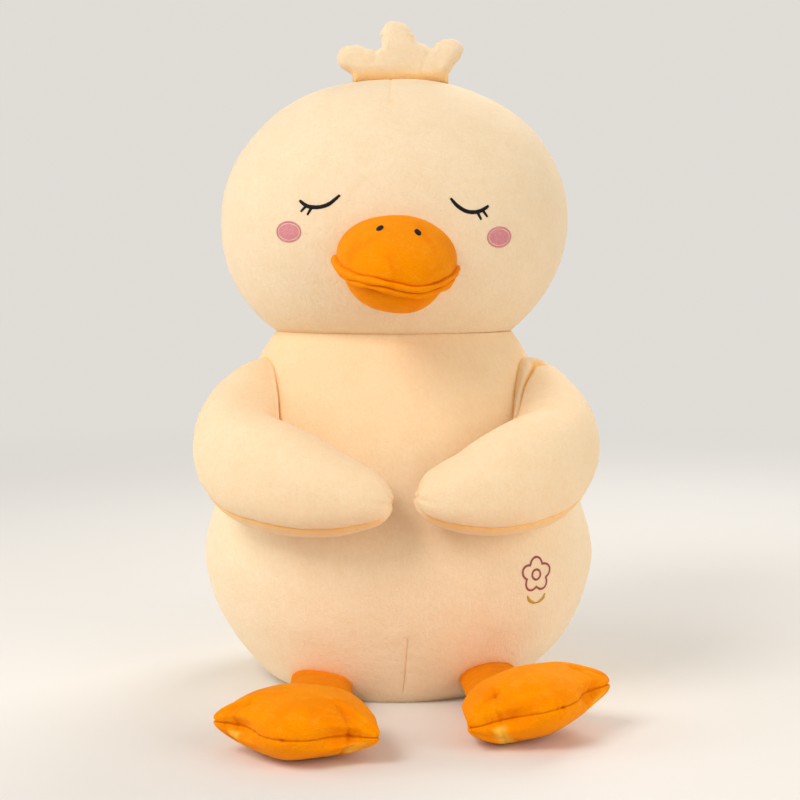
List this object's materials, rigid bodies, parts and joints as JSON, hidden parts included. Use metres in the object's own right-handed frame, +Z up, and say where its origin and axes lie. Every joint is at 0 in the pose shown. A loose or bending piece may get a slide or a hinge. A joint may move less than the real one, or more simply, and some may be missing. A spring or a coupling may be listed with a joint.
{
  "type": "plush toy",
  "caption": "Sitting plush duck with hugging arms, a padded bill, webbed velvet feet, a lobed crest and embroidered sleepy eyes",
  "frame": {"origin": "The middle of the flat seat, on the surface that the duck sits on", "axes": "The duck faces -Y, +Z is up, +X is to the right of someone who faces the duck"},
  "size_m": [0.3871, 0.5223, 0.6473],
  "materials": {
    "cream_plush": "short-pile cream plush",
    "orange_velvet": "orange velvet with a soft crushed pile",
    "white_filling": "loose white polyester fibre",
    "black_thread": "black satin-stitch embroidery thread",
    "pink_thread": "dusty pink satin-stitch embroidery thread",
    "ochre_thread": "ochre satin-stitch embroidery thread",
    "label_satin": "blank white satin ribbon"
  },
  "bodies": {
    "torso": {"body_cover": "cream_plush", "body_stuffing": "white_filling", "tail": "cream_plush", "care_label": "label_satin", "flower_outline": "pink_thread", "flower_centre": "pink_thread", "flower_sprig": "ochre_thread"},
    "head": {"head_cover": "cream_plush", "head_stuffing": "white_filling", "upper_bill_cover": "orange_velvet", "upper_bill_stuffing": "white_filling", "upper_lip": "orange_velvet", "lower_bill_cover": "orange_velvet", "lower_bill_stuffing": "white_filling", "lower_lip": "orange_velvet", "nostril_left": "black_thread", "nostril_right": "black_thread", "eye_left": "black_thread", "eye_right": "black_thread", "cheek_left": "pink_thread", "cheek_right": "pink_thread"},
    "crest": {"crest": "cream_plush"},
    "arm_left": {"arm_left_cover": "cream_plush", "arm_left_stuffing": "white_filling"},
    "arm_right": {"arm_right_cover": "cream_plush", "arm_right_stuffing": "white_filling"},
    "leg_left": {"leg_left_cover": "orange_velvet", "leg_left_stuffing": "white_filling"},
    "leg_right": {"leg_right_cover": "orange_velvet", "leg_right_stuffing": "white_filling"},
    "foot_left": {"foot_left_cover": "orange_velvet", "foot_left_stuffing": "white_filling"},
    "foot_right": {"foot_right_cover": "orange_velvet", "foot_right_stuffing": "white_filling"}
  },
  "joints": [
    {"name": "head_nod", "type": "hinge", "parent": "torso", "child": "head", "pos_m": [-0.003, 0, 0.385], "axis": [1, 0, 0], "range_deg": [-6, 6], "stiffness_Nm_per_rad": 6},
    {"name": "crest_flop", "type": "hinge", "parent": "head", "child": "crest", "pos_m": [0.00332, -0.018, 0.5929], "axis": [1, 0, 0], "range_deg": [-15, 15], "stiffness_Nm_per_rad": 0.1},
    {"name": "arm_left_open", "type": "hinge", "parent": "torso", "child": "arm_left", "pos_m": [-0.14376, -0.022, 0.29825], "axis": [-0.2987, 0, -0.9544], "range_deg": [0, 60], "stiffness_Nm_per_rad": 0.5},
    {"name": "arm_right_open", "type": "hinge", "parent": "torso", "child": "arm_right", "pos_m": [0.13997, -0.022, 0.29825], "axis": [-0.3381, 0, 0.9411], "range_deg": [0, 60], "stiffness_Nm_per_rad": 0.5},
    {"name": "leg_left_swing", "type": "hinge", "parent": "torso", "child": "leg_left", "pos_m": [-0.071, -0.11537, 0.0168], "axis": [0, 0, 1], "range_deg": [-12, 12], "stiffness_Nm_per_rad": 0.5},
    {"name": "leg_right_swing", "type": "hinge", "parent": "torso", "child": "leg_right", "pos_m": [0.086, -0.11263, 0.024], "axis": [0, 0, 1], "range_deg": [-12, 12], "stiffness_Nm_per_rad": 0.5},
    {"name": "foot_left_tilt", "type": "hinge", "parent": "leg_left", "child": "foot_left", "pos_m": [-0.06906, -0.22635, 0.02614], "axis": [0.9736, -0.2254, -0.0349], "range_deg": [-10, 10], "stiffness_Nm_per_rad": 0.4},
    {"name": "foot_right_tilt", "type": "hinge", "parent": "leg_right", "child": "foot_right", "pos_m": [0.09465, -0.1831, 0.02017], "axis": [0.8703, 0.4732, 0.1366], "range_deg": [-10, 10], "stiffness_Nm_per_rad": 0.4}
  ]
}
